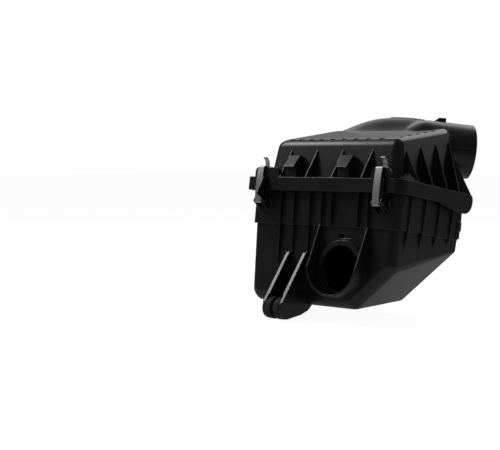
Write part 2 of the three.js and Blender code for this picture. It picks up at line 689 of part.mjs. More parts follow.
// ---- assembly ----------------------------------------------------------------------------
const housing = new THREE.Group();
housing.rotation.x = rad(-CASE_TILT);
housing.position.z = FLOOR.y * Math.sin(rad(CASE_TILT)) - FLOOR.z * Math.cos(rad(CASE_TILT));

function place(name, shape, material, x = 0, y = 0, z = 0) {
  const mesh = node(name, shape, material);
  mesh.position.set(x, y, z);
  housing.add(mesh);
}

place('lower_case', lowerCase(), BLACK_PLASTIC());
place('upper_cover', upperCover(), BLACK_PLASTIC());
place('filter_media', filterMedia(), PAPER());
place('filter_frame', filterFrame(), BOARD());
place('filter_seal', filterSeal(), RUBBER());
GLUE_LINES.places.forEach((y, i) => {
  place(`filter_glue_bead_${i + 1}`, glueBead(), GLUE(), 0, y);
});
for (const [side, x] of Object.entries(CLIPS)) {
  place(`clip_${side}`, springClip(), SPRING_STEEL(), x, CLIP.pivotY, CLIP.pivotZ);
  place(`clip_${side}_pin`, clipPin(), ZINC_STEEL(), x, CLIP.pivotY, CLIP.pivotZ);
}
place('front_mount_grommet', frontGrommet(), RUBBER(), BRACKET.x, BRACKET.eyeY, BRACKET.eyeZ);
place('front_mount_sleeve', frontSleeve(), ZINC_STEEL(),
  (FRONT_SLEEVE.left + FRONT_SLEEVE.right) / 2, BRACKET.eyeY, BRACKET.eyeZ);
for (const [side, x] of Object.entries(REAR_MOUNTS)) {
  const middle = REAR.z - REAR.plate / 2;
  place(`rear_${side}_mount_grommet`, rearGrommet(), RUBBER(), x, REAR.y, middle);
  place(`rear_${side}_mount_sleeve`, rearSleeve(), ZINC_STEEL(), x, REAR.y, middle);
}

export default housing;
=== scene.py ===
"""Air filter housing: a moulded case and hinged cover, a pleated filter, spring clips and mounts.

Every shape is drawn in millimetres in the frame of the parting plane (X to the right along the
front, Y to the back, Z square on the plane) and then carried into the row frame by TO_ROW.
"""
import json
import math

import bmesh
import bpy
from mathutils import Matrix, Vector


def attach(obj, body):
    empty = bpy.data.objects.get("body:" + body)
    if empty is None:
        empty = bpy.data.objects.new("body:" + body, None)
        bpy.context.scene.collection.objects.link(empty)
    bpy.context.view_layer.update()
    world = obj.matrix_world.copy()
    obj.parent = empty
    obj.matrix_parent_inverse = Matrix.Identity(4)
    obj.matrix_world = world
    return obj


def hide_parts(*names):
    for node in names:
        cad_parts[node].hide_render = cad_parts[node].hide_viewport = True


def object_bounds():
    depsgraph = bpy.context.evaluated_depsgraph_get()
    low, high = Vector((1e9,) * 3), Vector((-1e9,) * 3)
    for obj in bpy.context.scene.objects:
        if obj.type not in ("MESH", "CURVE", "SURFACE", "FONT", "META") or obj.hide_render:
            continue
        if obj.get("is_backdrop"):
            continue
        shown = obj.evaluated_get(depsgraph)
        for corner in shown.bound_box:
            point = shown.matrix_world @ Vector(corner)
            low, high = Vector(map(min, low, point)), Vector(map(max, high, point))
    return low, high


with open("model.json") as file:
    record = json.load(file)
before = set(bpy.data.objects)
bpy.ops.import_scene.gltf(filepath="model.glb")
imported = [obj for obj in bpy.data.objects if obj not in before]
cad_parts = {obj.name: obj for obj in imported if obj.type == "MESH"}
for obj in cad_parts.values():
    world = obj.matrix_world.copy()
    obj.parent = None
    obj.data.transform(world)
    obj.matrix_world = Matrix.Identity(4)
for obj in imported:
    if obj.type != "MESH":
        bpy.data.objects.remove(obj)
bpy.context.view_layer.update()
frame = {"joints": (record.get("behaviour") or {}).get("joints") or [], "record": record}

# ---- the frame of the parting plane -----------------------------------------------------------
JOINTS = {joint["name"]: joint for joint in frame["joints"]}
MOUNTS = {mount["name"]: mount for mount in frame["record"]["mounts"]}
HINGE = {"y": 72, "z": -5, "stud": 3.5, "ear": 6, "gap": 0.1}
LEAN = Vector(MOUNTS["rear_left_sleeve_face"]["axis"])
TILT = math.atan2(LEAN.y, LEAN.z)
TURN = Matrix.Rotation(-TILT, 4, "X")
ORIGIN = Vector(JOINTS["cover_hinge"]["pos_m"]) - TURN @ Vector((0, HINGE["y"], HINGE["z"])) / 1000
TO_ROW = Matrix.Translation(ORIGIN) @ TURN @ Matrix.Scale(0.001, 4)

# ---- sizes, in millimetres --------------------------------------------------------------------
WALL = 2.5
RUN = 0.3  # gap between pieces
RIB = 2.0
EDGE = 0.45  # rounding of thin ribs
SOFT = 0.8  # rounding of thicker plates
LEAST_CORNER = 0.6  # smallest corner radius of a shrunk rectangle
ROUNDED_ANGLE, SHARP_ANGLE = 28, 38  # degrees above which an edge is rounded, or shaded sharp
FAR = 200  # reach of the trimming blocks, past everything

SKIRT = {"left": -135, "right": 135, "front": -82, "back": 82, "corners": (2, 14, 4, 4)}
SKIRT_BOTTOM, SKIRT_TOP, SKIRT_WALL = -14, 5, 3.7
SKIRT_EDGE = [(1, -14), (36, -20.6), (51, -23.5)]  # lower edge of the side skirts
FLANGE = {"left": -130.5, "right": 130.5, "front": -77.5, "back": 76, "corners": (2, 10, 8, 8)}
FLANGE_BOTTOM, FLANGE_TOP = -7, -2
LUG_BORE, LUG_RADIUS = 2.6, 18

BODY_LOW = {"left": -119, "right": 118, "front": -68, "back": 78, "corners": (18, 20, 18, 18)}
BODY_HIGH = {"left": -113.5, "right": 107, "front": -58.5, "back": 62, "corners": (18, 10, 14, 18)}
BODY_BASE, BODY_ROUND = -17, 14
ROUND_WIDTH = {"left": 1.7, "right": 0.75, "front": 0.5, "back": 0.8}  # its width over its height
ROOF_FRONT, ROOF_AT, ROOF_SLOPE = 61.5, -56, 0.29

# Small pockets in the roof: places along its front edge and count along its right edge.
POCKETS = {"front": -55, "right": 98, "places": (-84, -67, -48.5, -30, -10, 10, 30.5, 52, 75),
           "rows": 5, "first": -42, "run": 68, "half": 3.8, "deep": 3.8, "sunk": 2}
HUMP = {"left": -100, "right": 106, "front": 25, "back": 76, "base": 50}
CREST, PEAK = 112.5, -4
CREST_FALL = (0.003, 0.0013)  # how fast the crest curves down to the left and right of its peak
SKIN = {"voxel": 1.5, "factor": 0.5, "rounds": 45}  # the blend of the plenum into the neck
RIDGES = {"places": range(2, 58, 6), "y": 60, "length": 9, "proud": 0.7}
NECK = {"x": 104, "y": 110, "z": 69, "heading": 41, "radius": 38, "bore": 35, "length": 62,
        "bore_end": 54}
SEAM = {"proud": 0.45, "length": 46, "half": 0.4}

CASE = {"left": -128.5, "right": 126, "front": -72, "back": 72, "corners": (4, 12, 3, 6)}
SHOULDER, SHOULDER_STEP, REAR_STEP, DRAFT = -60, 2.5, 1.5, 2
FLOOR_Y, FLOOR_Z = -72, -171
CHAMFER = [(65, -72, -171), (130, -72, -111), (41, 72, -150)]  # three points on its face
HEEL = (-122, 0, -160)  # a point on the sloping face at the lower left

INLET = {"x": 38, "z": -113, "collar": 42.5, "wall": 3, "lip": -91, "top": -57.5}
BORE = {"x": 39.5, "z": -116.5, "radius": 31.5, "crown": 7}
SLOT = {"left": 30, "deep_to": 36.5, "right": 50, "bottom": -75, "top": -70}
FRONT_RIBS = [(-75, -114), (-51, -104), (-22.5, -100), (-1, -60), (16.3, -60), (62, -60), (78.5, -60)]
SIDE_RIBS = [(-46, -100), (-14, -92), (18, -82.5), (49, -71.5)]
CORNER_PADS = [(-35, -16, 1.2), (-47, -34.5, 2.0), (-58, -46.5, 0.5)]  # bottom, top, proud
CORNER_PAD_LONG, CORNER_PAD_DEEP = 14, 9
COVER_FRONT_GUSSETS = (-77, -30, 16, 67)
COVER_SIDE_GUSSETS = (-44, -12, 21, 50)
POSTS, POST_HALF = (-62.6, 31.4), 10

CLIPS = {"left": -110, "right": 99}
CLIP = {"width": 11, "sheet": 1.2, "y": -83.5, "z": -30, "pin": 1.5, "tab": 7}
CATCH_TOP, CATCH_DEPTH, CATCH_ROUND = 18.5, 5.5, 6
CATCH_REACH = {"left": (-14, 31), "right": (-15, 16)}
CHEEK_OFFSET, CHEEK_THICK, CHEEK_SLOT = 8.6, 2, 0.5
CHEEK_FRONTS = {"left": (-89, -98.5), "right": (-85.5, -86.5)}  # at the top and low down

BRACKET = {"x": -40, "gap": 26, "plate": 4, "y": -97, "z": -177, "radius": 14.5, "spool": 15,
           "waist": 9.5, "groove": 5}
NOSE = (155, 285)  # start and end of the bracket's round nose, in degrees
# The bar's inner overhang is full until "short" of its end, and only "past" from there on.
LIP = {"wide": 6, "thick": 2.6, "proud": 0.6, "short": 13, "past": 2}
SLEEVE_OUTER, SLEEVE_BORE = 5, 3.4
SLEEVE_PROUD, SLEEVE_SOCKET = 0.5, 2  # past the left plate, and into the right one
REAR_MOUNTS = {"left": -85, "right": 85}
REAR = {"y": 90, "z": -50, "plate": 5, "radius": 15, "hole": 8.5}
REAR_SPOOL = {"flange": 12.5, "length": 17, "sleeve": 18}

# ---- studio: strengths of light, and the camera, whose place is in metres from ORIGIN ----------
FLOOR_GLOW, FLOOR_WHITE = 0.24, 0.95  # what the object sees nearby, and what the camera sees
SKY_LOW, SKY_HIGH = 0.06, 0.15  # at the horizon and overhead
CAMERA = {"sensor": 36, "lens": 86.904, "place": (1.0588, -1.3313, 0.0430),
          "right": (0.7238, 0.6900, 0.0002), "forward": (-0.6890, 0.7227, -0.0552)}


# ---- mesh helpers -----------------------------------------------------------------------------
def arc(cu, cv, radius, start, end, steps=12):
    """Points along an arc, with its angles in degrees."""
    points = []
    for i in range(steps + 1):
        angle = math.radians(start + (end - start) * i / steps)
        points.append((cu + radius * math.cos(angle), cv + radius * math.sin(angle)))
    return points


def shrink(rect, by):
    return {
        "left": rect["left"] + by, "right": rect["right"] - by,
        "front": rect["front"] + by, "back": rect["back"] - by,
        "corners": tuple(max(radius - by, LEAST_CORNER) for radius in rect["corners"]),
    }


def blend(a, b, share):
    """A rectangle part of the way from one to another."""
    mixed = {key: a[key] + (b[key] - a[key]) * share for key in ("left", "right", "front", "back")}
    mixed["corners"] = tuple(p + (q - p) * share for p, q in zip(a["corners"], b["corners"]))
    return mixed


def plan(rect, steps=8):
    """Outline of a rectangle whose corner radii are named from the front left, anticlockwise."""
    a, b, c, d = rect["corners"]
    left, right, front, back = rect["left"], rect["right"], rect["front"], rect["back"]
    return [
        *arc(right - b, front + b, b, -90, 0, steps), *arc(right - c, back - c, c, 0, 90, steps),
        *arc(left + d, back - d, d, 90, 180, steps), *arc(left + a, front + a, a, 180, 270, steps),
    ]


def new_object(name, data):
    made = bpy.data.objects.new(name, data)
    bpy.context.scene.collection.objects.link(made)
    return made


def finish_mesh(bm):
    bmesh.ops.remove_doubles(bm, verts=bm.verts, dist=1e-4)
    bmesh.ops.recalc_face_normals(bm, faces=bm.faces)
    mesh = bpy.data.meshes.new("part")
    bm.to_mesh(mesh)
    bm.free()
    return new_object("part", mesh)


def round_edges(bm, width, segments):
    """Rounds every edge that is sharper than ROUNDED_ANGLE."""
    if width <= 0:
        return
    bmesh.ops.recalc_face_normals(bm, faces=bm.faces)
    limit = math.radians(ROUNDED_ANGLE)
    edges = [e for e in bm.edges if e.is_manifold and e.calc_face_angle(0) > limit]
    bmesh.ops.bevel(bm, geom=edges, offset=width, segments=segments, profile=0.5,
                    affect="EDGES", clamp_overlap=True)


AXES = {
    "x": lambda u, v, w: (w, u, v),
    "y": lambda u, v, w: (u, w, v),
    "z": lambda u, v, w: (u, v, w),
}


def prism(axis, outline, low, high, width=EDGE, segments=2):
    """An outline in the other two axes, drawn out along one axis and rounded."""
    bm = bmesh.new()
    place = AXES[axis]
    rings = [[bm.verts.new(place(u, v, w)) for u, v in outline] for w in (low, high)]
    count = len(outline)
    for i in range(count):
        j = (i + 1) % count
        bm.faces.new((rings[0][i], rings[0][j], rings[1][j], rings[1][i]))
    bm.faces.new(rings[0][::-1])
    bm.faces.new(rings[1])
    bmesh.ops.remove_doubles(bm, verts=bm.verts, dist=1e-4)
    round_edges(bm, width, segments)
    return finish_mesh(bm)


def block(x0, x1, y0, y1, z0, z1, width=EDGE):
    return prism("z", [(x0, y0), (x1, y0), (x1, y1), (x0, y1)], z0, z1, width)


def plate(axis, outline, middle, thick=RIB, width=EDGE, segments=2):
    """A prism of a given thickness about its middle, such as a rib."""
    return prism(axis, outline, middle - thick / 2, middle + thick / 2, width, segments)


def bar(axis, radius, low, high, centre, steps=48, width=0.0):
    return prism(axis, arc(*centre, radius, 0, 360, steps)[:-1], low, high, width)


def loft(rings, closed=False):
    """A skin over rings of points. It is capped, or joined end to end when closed."""
    bm = bmesh.new()
    rows = [[bm.verts.new(point) for point in ring] for ring in rings]
    count = len(rings[0])
    pairs = list(zip(rows, rows[1:])) + ([(rows[-1], rows[0])] if closed else [])
    for low, high in pairs:
        for i in range(count):
            j = (i + 1) % count
            bm.faces.new((low[i], low[j], high[j], high[i]))
    if not closed:
        bm.faces.new(rows[0][::-1])
        bm.faces.new(rows[-1])
    return finish_mesh(bm)


def lathe(profile, axis, centre, steps=64):
    """A closed profile of (radius, height) turned about an axis through a centre."""
    rings = []
    for i in range(steps):
        angle = 2 * math.pi * i / steps
        ring = []
        for radius, height in profile:
            u, v = radius * math.cos(angle), radius * math.sin(angle)
            x, y, z = AXES[axis](u, v, height)
            ring.append((x + centre[0], y + centre[1], z + centre[2]))
        rings.append(ring)
    return loft(rings, closed=True)


def hull(balls, steps=20):
    """The skin stretched over balls of (centre, radius)."""
    bm = bmesh.new()
    for centre, radius in balls:
        for i in range(steps // 2 + 1):
            polar = math.pi * i / (steps // 2)
            around = 1 if i in (0, steps // 2) else steps
            for j in range(around):
                turn = 2 * math.pi * j / around
                offset = Vector((math.sin(polar) * math.cos(turn),
                                 math.sin(polar) * math.sin(turn), math.cos(polar)))
                bm.verts.new(centre + offset * radius)
    made = bmesh.ops.convex_hull(bm, input=bm.verts)
    inner = [v for v in made["geom_interior"] if isinstance(v, bmesh.types.BMVert)]
    bmesh.ops.delete(bm, geom=inner, context="VERTS")
    loose = [v for v in bm.verts if not v.link_faces]
    bmesh.ops.delete(bm, geom=loose, context="VERTS")
    return finish_mesh(bm)


def apply_modifiers(part):
    bpy.context.view_layer.update()
    shaped = part.evaluated_get(bpy.context.evaluated_depsgraph_get())
    mesh = bpy.data.meshes.new_from_object(shaped)
    part.modifiers.clear()
    part.data = mesh


def boolean(base, operation, tools):
    """Applies one operation with each tool in turn, and removes the tools."""
    for tool in tools:
        modifier = base.modifiers.new("boolean", "BOOLEAN")
        modifier.operation = operation
        modifier.solver = "MANIFOLD"
        modifier.object = tool
    apply_modifiers(base)
    for tool in tools:
        bpy.data.objects.remove(tool)
    return base


def join(parts):
    return boolean(parts[0], "UNION", parts[1:])


def cut(body, tools):
    return boolean(body, "DIFFERENCE", tools)


def meet(body, tool):
    return boolean(body, "INTERSECT", [tool])


def cut_corners(u0, u1, v0, v1, by):
    """The outline of a rectangle with its corners cut off."""
    return [(u0, v0 + by), (u0 + by, v0), (u1 - by, v0), (u1, v0 + by),
            (u1, v1 - by), (u1 - by, v1), (u0 + by, v1), (u0, v1 - by)]


def roundover(part, width, segments=2):
    """Rounds the sharp edges of a finished simple part."""
    bm = bmesh.new()
    bm.from_mesh(part.data)
    bmesh.ops.dissolve_limit(bm, angle_limit=math.radians(1), verts=bm.verts, edges=bm.edges)
    round_edges(bm, width, segments)
    bmesh.ops.recalc_face_normals(bm, faces=bm.faces)
    bm.to_mesh(part.data)
    bm.free()
    return part


def deliver(part, name, body, slot, node):
    """Carries a finished part into the row frame and puts it on its CAD body."""
    part.name = name
    part.data.name = name
    part.data.transform(TO_ROW)
    part.data.materials.clear()
    part.data.materials.append(FINISHES[slot])
    for face in part.data.polygons:
        face.use_smooth = True
        face.material_index = 0
    part.data.set_sharp_from_angle(angle=math.radians(SHARP_ANGLE))
    weighted = part.modifiers.new("even normals", "WEIGHTED_NORMAL")
    weighted.keep_sharp = True
    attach(part, body)
    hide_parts(node)


def ramp(value, low, high):
    """A smooth step from 0 at low to 1 at high."""
    share = min(max((value - low) / (high - low), 0), 1)
    return share * share * (3 - 2 * share)


# ---- materials --------------------------------------------------------------------------------
class Nodes:
    """A small writer for shader node trees."""

    def __init__(self, name):
        self.material = bpy.data.materials.new(name)
        self.material.use_nodes = True
        self.tree = self.material.node_tree
        self.shader = self.tree.nodes["Principled BSDF"]
        self.place = self.add("ShaderNodeTexCoord").outputs["Object"]

    def put(self, socket, value):
        """Feeds an input from another node's output, or gives it a plain value."""
        if isinstance(value, bpy.types.NodeSocket):
            self.tree.links.new(value, socket)
        else:
            socket.default_value = value

    def add(self, kind, links=None, **settings):
        node = self.tree.nodes.new(kind)
        for key, value in settings.items():
            setattr(node, key, value)
        for key, value in (links or {}).items():
            self.put(node.inputs[key], value)
        return node

    def noise(self, scale, detail=3.0, stretch=None, roughness=0.5):
        place = self.place
        if stretch:
            mapping = self.add("ShaderNodeMapping", {"Vector": place, "Scale": stretch})
            place = mapping.outputs["Vector"]
        links = {"Vector": place, "Scale": scale, "Detail": detail, "Roughness": roughness}
        return self.add("ShaderNodeTexNoise", links).outputs["Fac"]

    def spread(self, value, low, high, start=0.0, end=1.0):
        links = {"Value": value, "From Min": start, "From Max": end, "To Min": low, "To Max": high}
        return self.add("ShaderNodeMapRange", links).outputs["Result"]

    def math(self, operation, a, b=0.0):
        return self.add("ShaderNodeMath", {0: a, 1: b}, operation=operation).outputs[0]

    def mix(self, share, a, b):
        node = self.add("ShaderNodeMix", data_type="RGBA")
        for index, value in ((0, share), (6, a), (7, b)):
            self.put(node.inputs[index], value)
        return node.outputs[2]

    def edges(self, radius):
        """About 0 on flat ground and rising to 1 on edges narrower than the radius."""
        bevel = self.add("ShaderNodeBevel", {"Radius": radius}, samples=6).outputs["Normal"]
        normal = self.add("ShaderNodeNewGeometry").outputs["True Normal"]
        dot = self.add("ShaderNodeVectorMath", {0: bevel, 1: normal}, operation="DOT_PRODUCT")
        return self.spread(dot.outputs["Value"], 1.0, 0.0, 0.72, 0.995), bevel

    def bump(self, height, distance, strength, normal=None):
        links = {"Height": height, "Distance": distance, "Strength": strength}
        if normal is not None:
            links["Normal"] = normal
        return self.add("ShaderNodeBump", links).outputs["Normal"]

    def finish(self, **inputs):
        for key, value in inputs.items():
            name = key.replace("_", " ").title().replace("Ior", "IOR")
            self.put(self.shader.inputs[name], value)
        return self.material


def grey(value, warm=0.0):
    return (value * (1 + warm), value, value * (1 - warm), 1)


def black_plastic():
    """Moulded polypropylene: fine spark-eroded grain, faint flow clouds, edges paler from wear and a
    painted highlight.
    """
    n = Nodes("black_plastic")
    grain = n.noise(2600, 2)
    cloud = n.noise(14, 4, roughness=0.6)
    dust = n.noise(160, 5, roughness=0.7)
    edge_mask, bevel = n.edges(0.0011)
    base = n.mix(n.spread(cloud, 0, 1, 0.3, 0.7), grey(0.0105), grey(0.0155))
    # Paler edges: partly scuffed wear, partly a painted highlight that lifts rounded edges such as the
    # roof's front edge, broken up by the dust noise.
    base = n.mix(n.math("MULTIPLY", edge_mask, n.spread(dust, 0.15, 0.8, 0.35, 0.65)), base, grey(0.032))
    rough = n.math("ADD", n.spread(cloud, 0.3, 0.37, 0.3, 0.7), n.spread(grain, -0.04, 0.04))
    rough = n.math("SUBTRACT", rough, n.math("MULTIPLY", edge_mask, 0.1))
    normal = n.bump(grain, 0.00012, 0.35, bevel)
    return n.finish(base_color=base, roughness=rough, normal=normal)


def brushed_steel():
    """Bright spring strip, brushed along its length, with a few darker stains."""
    n = Nodes("spring_steel")
    brush = n.noise(900, 2, stretch=(6, 0.3, 0.12))
    stain = n.noise(60, 4)
    edge_mask, bevel = n.edges(0.0004)
    base = n.mix(n.spread(stain, 0, 0.6, 0.45, 0.75), grey(0.60), grey(0.36, 0.03))
    base = n.mix(n.math("MULTIPLY", edge_mask, 0.6), base, grey(0.8))
    rough = n.math("ADD", n.spread(brush, 0.36, 0.5), n.spread(stain, 0, 0.1, 0.4, 0.8))
    normal = n.bump(brush, 0.00006, 0.3, bevel)
    return n.finish(base_color=base, roughness=rough, metallic=1.0, normal=normal)


def zinc_plate():
    """Dull zinc on the pins and sleeves, with a mottled film."""
    n = Nodes("zinc_steel")
    mottle = n.noise(420, 5, roughness=0.65)
    edge_mask, bevel = n.edges(0.0003)
    base = n.mix(n.spread(mottle, 0, 1, 0.35, 0.65), grey(0.34, 0.02), grey(0.5))
    base = n.mix(n.math("MULTIPLY", edge_mask, 0.5), base, grey(0.65))
    rough = n.spread(mottle, 0.32, 0.55)
    return n.finish(base_color=base, roughness=rough, metallic=1.0,
                    normal=n.bump(mottle, 0.00005, 0.25, bevel))


def rubber():
    """Matt black rubber with a bloom and fine pores."""
    n = Nodes("black_rubber")
    pores = n.noise(3000, 3)
    bloom = n.noise(90, 4)
    edge_mask, bevel = n.edges(0.0006)
    base = n.mix(n.spread(bloom, 0, 1, 0.4, 0.7), grey(0.011), grey(0.026, 0.04))
    base = n.mix(n.math("MULTIPLY", edge_mask, 0.4), base, grey(0.045))
    rough = n.spread(pores, 0.62, 0.86)
    return n.finish(base_color=base, roughness=rough, normal=n.bump(pores, 0.00012, 0.4, bevel))


def filter_paper():
    """Resin-treated paper: short fibres, warm blotches and paler streaks along the fibres."""
    n = Nodes("filter_paper")
    fibre = n.noise(1500, 6, stretch=(1, 0.25, 1), roughness=0.7)
    blotch = n.noise(40, 3)
    base = n.mix(n.spread(blotch, 0, 1, 0.35, 0.7), (0.72, 0.58, 0.33, 1), (0.62, 0.47, 0.25, 1))
    base = n.mix(n.spread(fibre, 0, 0.5, 0.4, 0.8), base, (0.80, 0.70, 0.48, 1))
    return n.finish(base_color=base, roughness=n.spread(fibre, 0.78, 0.95),
                    normal=n.bump(fibre, 0.0001, 0.5))


def fibre_board():
    """Pressed board around the pleats, with flecks and a rubbed edge."""
    n = Nodes("filter_board")
    fleck = n.noise(1100, 6, roughness=0.75)
    edge_mask, bevel = n.edges(0.0005)
    base = n.mix(n.spread(fleck, 0, 1, 0.35, 0.7), (0.20, 0.14, 0.08, 1), (0.34, 0.26, 0.16, 1))
    base = n.mix(n.math("MULTIPLY", edge_mask, 0.5), base, (0.45, 0.36, 0.24, 1))
    return n.finish(base_color=base, roughness=n.spread(fleck, 0.8, 0.95),
                    normal=n.bump(fleck, 0.0001, 0.4, bevel))


def hot_glue():
    """Cream hot-melt glue: waxy, a little translucent, uneven."""
    n = Nodes("hot_glue")
    flow = n.noise(260, 3)
    base = n.mix(flow, (0.74, 0.66, 0.46, 1), (0.86, 0.80, 0.64, 1))
    return n.finish(base_color=base, roughness=n.spread(flow, 0.3, 0.5), subsurface_weight=0.15,
                    subsurface_scale=0.001, normal=n.bump(flow, 0.0002, 0.4))


FINISHES = {
    "black_plastic": black_plastic(), "spring_steel": brushed_steel(), "zinc_steel": zinc_plate(),
    "black_rubber": rubber(), "filter_paper": filter_paper(), "filter_board": fibre_board(),
    "hot_glue": hot_glue(),
}


# ---- lower case -------------------------------------------------------------------------------
def skirt_edge(y):
    (y0, z0), (y1, z1) = SKIRT_EDGE[:2]
    return z0 if y <= y0 else z0 + (z1 - z0) * (y - y0) / (y1 - y0)


def upper_band(inset):
    rim = shrink(CASE, inset)
    rings = []
    for z, rect in ((SHOULDER + inset, shrink(rim, 1)), (FLANGE_TOP, rim)):
        rings.append([(x, y, z) for x, y in plan(rect, 10)])
    return loft(rings)


def lower_band(inset):
    """The tub below the shoulder: flat drafted faces with soft, changing rounds between them."""
    top = SHOULDER + 0.5 + inset
    depth = FLOOR_Z - 2
    rect = shrink(CASE, 1 + SHOULDER_STEP)
    slope = DRAFT / (top - depth)

    def wall(normal, point):
        outward = Vector(normal).normalized()
        return outward, outward.dot(Vector(point)) - inset

    low, high, rear = (Vector(point) for point in CHAMFER)
    inward = (high - low).cross(rear - low).normalized()
    faces = {
        "top": (Vector((0, 0, 1)), top),
        "left": wall((-1, 0, 0), (rect["left"], 0, top)),
        "right": wall((1, 0, -slope), (rect["right"], 0, top)),
        "front": wall((0, -1, -slope), (0, rect["front"], top)),
        "back": wall((0, 1, -slope), (0, CASE["back"] + REAR_STEP, top)),
        "floor": wall((0, math.sin(TILT), -math.cos(TILT)), (0, FLOOR_Y, FLOOR_Z)),
        "heel": wall((-1, 0, -1), HEEL),
        "chamfer": wall(-inward, low),
    }
    # Each corner is a ball that touches the three faces it is named after. At the back the floor
    # lies above the heel, so "back heel floor" stands out of the left wall as a bulge.
    corners = [
        ("top front left", 4), ("top front right", 12), ("top back right", 2),
        ("top back left", 6), ("front right chamfer", 14), ("back right chamfer", 3),
        ("front chamfer floor", 12), ("back chamfer floor", 7), ("front heel floor", 13),
        ("back heel floor", 10), ("front left heel", 13), ("back left heel", 10),
    ]
    balls = []
    for names, radius in corners:
        radius = max(radius - inset, 1.0)
        planes = [faces[name] for name in names.split()]
        matrix = Matrix([normal for normal, _ in planes])
        # A ball at the open top pokes out through it, so that the top stays full size.
        reach = [distance - radius * (name != "top")
                 for name, (_, distance) in zip(names.split(), planes)]
        balls.append((matrix.inverted() @ Vector(reach), radius))
    lid = block(-FAR, FAR, -FAR, FAR, top, top + 60, 0)
    return cut(hull(balls), [lid])


def front_rib(x, foot):
    """A rib from the flange to the shoulder, or on down the wall to a tapering foot."""
    front, proud = CASE["front"], FLANGE["front"] + 0.5
    low = max(foot, SHOULDER + 1)
    outline = [(front + 3, FLANGE_TOP - 1), (proud, SKIRT_BOTTOM), (proud, SKIRT_BOTTOM - 16),
               (front - 1.5, low)]
    if foot < SHOULDER:
        outline += [(front + SHOULDER_STEP + 0.2, foot)]
    outline += [(front + SHOULDER_STEP + 3, foot)]
    return plate("x", outline, x)


def side_rib(y, foot):
    root, proud = CASE["right"] - 4.6, FLANGE["right"] - 1.5
    outline = [(root, SKIRT_BOTTOM), (proud, SKIRT_BOTTOM), (proud, skirt_edge(y) - 1),
               (CASE["right"] + 0.6, SHOULDER), (root - 1, foot)]
    return plate("y", outline, y)


def corner_pad(bottom, top, proud):
    right, back = CASE["right"] + proud / 2, CASE["back"] + proud
    return block(right - CORNER_PAD_LONG, right, back - CORNER_PAD_DEEP, back, bottom, top, 0.7)


def inlet_collar():
    x, z, collar, wall = INLET["x"], INLET["z"], INLET["collar"], INLET["wall"]
    lip, top, root = INLET["lip"], INLET["top"], CASE["front"] + 6
    outline = [
        (x - collar, top), *arc(x, z, collar, 180, 360, 40), (x + collar, top),
        (x + collar - wall, top), *arc(x, z, collar - wall, 360, 180, 40), (x - collar + wall, top),
    ]
    side = [(root, top), (CASE["front"], top), (-85, -101.5), (lip, -118), (lip, -160), (root, -165)]
    trough = meet(prism("y", outline, lip - 1, root, 0), prism("x", side, x - 60, x + 60, 0))
    return roundover(trough, 0.9, 3)


def crown_ring():
    """The raised half ring over the inlet, which stands on the front wall."""
    x, z, bore = BORE["x"], BORE["z"], BORE["radius"]
    outline = [*arc(x, z, bore + BORE["crown"], 0, 180, 40), *arc(x, z, bore - 1, 180, 0, 40)]
    return prism("y", outline, CASE["front"] - 1.5, CASE["front"] + 6, SOFT, 3)


def bracket_plate(x):
    y, z, radius = BRACKET["y"], BRACKET["z"], BRACKET["radius"]
    root = CASE["front"] + 6
    outline = [
        (root, -96), (CASE["front"] + 1, -99), *arc(y, z, radius, *NOSE, 24), (-68, -183.5),
        (-54, -176.5), (-42, -163), (root, -160),
    ]
    return plate("x", outline, x, BRACKET["plate"], SOFT, 3)


def bracket_lip(x, inner):
    """A flat bar along a plate's front edge; its inner overhang stops short of the spool."""
    start, angle = Vector((CASE["front"] + 0.5, -98.5)), math.radians(NOSE[0])
    nose = BRACKET["radius"] * Vector((math.cos(angle), math.sin(angle)))
    end = Vector((BRACKET["y"], BRACKET["z"])) + nose
    along = (end - start).normalized()
    out = Vector((along.y, -along.x))
    face, back = out * LIP["proud"], out * (LIP["thick"] - LIP["proud"])
    half = LIP["wide"] / 2
    parts = []
    for short, overhang in ((LIP["short"], half), (0, LIP["past"])):
        tip = start + along * ((end - start).length - short)
        outline = [start + face, tip + face, tip - back, start - back + along * 0.1]
        ends = sorted((x - inner * half, x + inner * overhang))
        parts.append(prism("x", [tuple(point) for point in outline], *ends, 0.5))
    return parts


def rear_ear(x):
    y, z, radius, thick = REAR["y"], REAR["z"], REAR["radius"], REAR["plate"]
    root = CASE["back"] - 5
    outline = [(x - radius - 6, root), (x + radius + 6, root), *arc(x, y, radius, 0, 180, 24)]
    gusset = [(root, z - thick - 30), (root, z - 1), (y + 6, z - 1), (y + 6, z - thick - 3)]
    return [prism("z", outline, z - thick, z, SOFT), plate("x", gusset, x - radius + 1),
            plate("x", gusset, x + radius - 1)]


def clip_seat(side, x):
    """Two cheeks that hold the pivot pin, a brace, and the tall cheek that shields the strap."""
    root, (high, low) = CASE["front"] + 4, CHEEK_FRONTS[side]
    outer = CLIP["width"] / 2 + 0.6
    cheek = [(root, -17), (CLIP["y"] - 0.5, -24), *arc(CLIP["y"], CLIP["z"] + 0.5, 3.2, 130, 250, 6),
             (root, -43)]
    parts = [plate("x", cheek, x + at) for at in (-outer - RIB / 2, outer + RIB / 2)]
    brace = [(root, -15), (CASE["front"] - 6, -22), (CASE["front"] - 6, -26), (root, -43)]
    parts.append(plate("x", brace, x + outer + 9))
    top, behind = SKIRT_TOP - 0.5, FLANGE["front"] - 1.5
    shield = [(behind, FLANGE_BOTTOM), (behind, top), (high + 1.5, top), (high, top - 1.5),
              (low, -20), (low + 1, -22.5), (CLIP["y"] - 4, -26), (root, -38.5), (root, FLANGE_BOTTOM)]
    parts.append(plate("x", shield, x + CHEEK_OFFSET, CHEEK_THICK))
    return parts


def hinge_ear(side):
    reach = SKIRT["right"] - SKIRT_WALL + LUG_BORE
    centre = (HINGE["y"], HINGE["z"])
    ends = sorted((side * 127, side * FLANGE["right"]))
    stud = sorted((side * 129, side * (reach - RUN)))
    return [bar("x", HINGE["ear"], *ends, centre, width=0.3),
            bar("x", HINGE["stud"], *stud, centre, width=0.3)]


